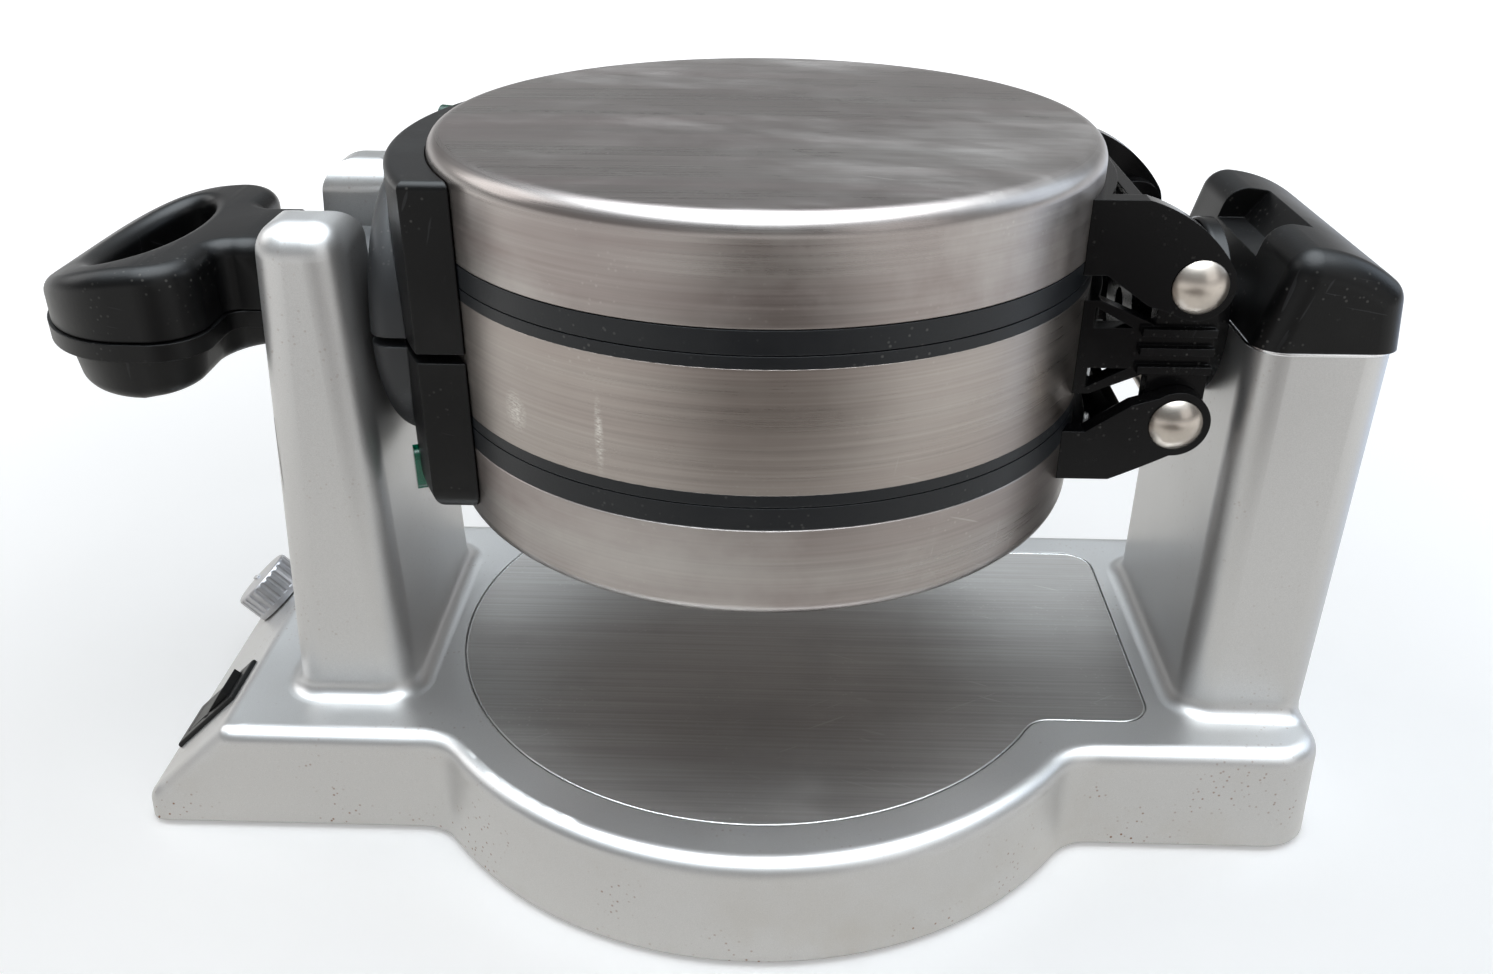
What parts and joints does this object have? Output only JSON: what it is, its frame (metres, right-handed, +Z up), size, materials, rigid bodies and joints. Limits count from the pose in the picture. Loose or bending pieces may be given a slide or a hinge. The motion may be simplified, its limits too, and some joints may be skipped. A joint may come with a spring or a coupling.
{
  "type": "double waffle maker",
  "caption": "Rotating stack of round waffle chambers between two hinged lids, carried by a forked front support and a rear post on a low base.",
  "frame": {"origin": "on the counter, under the middle of the overall length and width", "axes": "+X from the handle to the rear post, +Z up"},
  "size_m": [0.421, 0.2552, 0.226],
  "materials": {
    "black_casting": "glossy black enamel",
    "black_plastic": "satin",
    "board": "circuit board",
    "bronze": "oiled bush",
    "brushed_steel": "brushed",
    "cast_plate": "dark non-stick coating",
    "heater_tube": "dull",
    "knob_silver": "knurled satin",
    "lens_green": "translucent green",
    "nickel": "domed nickel",
    "rubber": "matte",
    "shield_sheet": "mill finish",
    "silver_paint": "silver metallic paint, satin"
  },
  "bodies": {
    "base": {"base_shell": "silver_paint", "inlay_plate": "brushed_steel", "bottom_cover": "black_plastic", "rubber_feet": "rubber", "base_screws": "heater_tube", "rear_cap": "black_plastic", "control_board": "board", "board_posts": "silver_paint", "cord_gland": "black_plastic", "knob_control": "black_plastic", "switch_bezel": "black_plastic", "shaft_bearing_front": "bronze", "shaft_bearing_rear": "bronze"},
    "knob": {"browning_knob": "knob_silver", "knob_shaft": "heater_tube"},
    "rocker": {"rocker_button": "black_plastic"},
    "unit": {"centre_band": "brushed_steel", "centre_trim_ring_upper": "black_plastic", "centre_trim_ring_lower": "black_plastic", "centre_plate_upper": "cast_plate", "centre_plate_lower": "cast_plate", "centre_heater_upper": "heater_tube", "centre_heater_lower": "heater_tube", "pivot_bracket": "black_casting", "pivot_bracket_screws": "heater_tube", "hinge_pin_upper": "nickel", "hinge_pin_lower": "nickel", "pivot_shaft": "black_casting", "shaft_collar": "heater_tube"},
    "upper_lid": {"lid_cover_upper": "brushed_steel", "lid_trim_ring_upper": "black_plastic", "lid_plate_upper": "cast_plate", "lid_heater_upper": "heater_tube", "lid_heat_shield_upper": "shield_sheet", "hinge_bracket_upper": "black_casting", "bracket_screws_upper": "heater_tube", "front_block_upper": "black_plastic", "indicator_lens_upper": "lens_green", "hub_half_upper": "black_plastic", "handle_half_upper": "black_plastic"},
    "lower_lid": {"lid_cover_lower": "brushed_steel", "lid_trim_ring_lower": "black_plastic", "lid_plate_lower": "cast_plate", "lid_heater_lower": "heater_tube", "lid_heat_shield_lower": "shield_sheet", "hinge_bracket_lower": "black_casting", "bracket_screws_lower": "heater_tube", "front_block_lower": "black_plastic", "indicator_lens_lower": "lens_green", "hub_half_lower": "black_plastic", "handle_half_lower": "black_plastic"}
  },
  "joints": [
    {"name": "unit_rotate", "type": "hinge", "parent": "base", "child": "unit", "pos_m": [0.0205, 0, 0.1675], "axis": [1, 0, 0], "range_deg": [-180, 0]},
    {"name": "upper_lid_hinge", "type": "hinge", "parent": "unit", "child": "upper_lid", "pos_m": [0.1465, 0, 0.1894], "axis": [0, 1, 0], "range_deg": [0, 95]},
    {"name": "lower_lid_hinge", "type": "hinge", "parent": "unit", "child": "lower_lid", "pos_m": [0.1465, 0, 0.1456], "axis": [0, -1, 0], "range_deg": [0, 0.25]},
    {"name": "knob_turn", "type": "hinge", "parent": "base", "child": "knob", "pos_m": [-0.17225, 0.032, 0.02415], "axis": [0.6923, 0, -0.7216], "range_deg": [0, 270]},
    {"name": "rocker_tilt", "type": "hinge", "parent": "base", "child": "rocker", "pos_m": [-0.17225, -0.038, 0.02415], "axis": [0, 1, 0], "range_deg": [0, 14]}
  ]
}
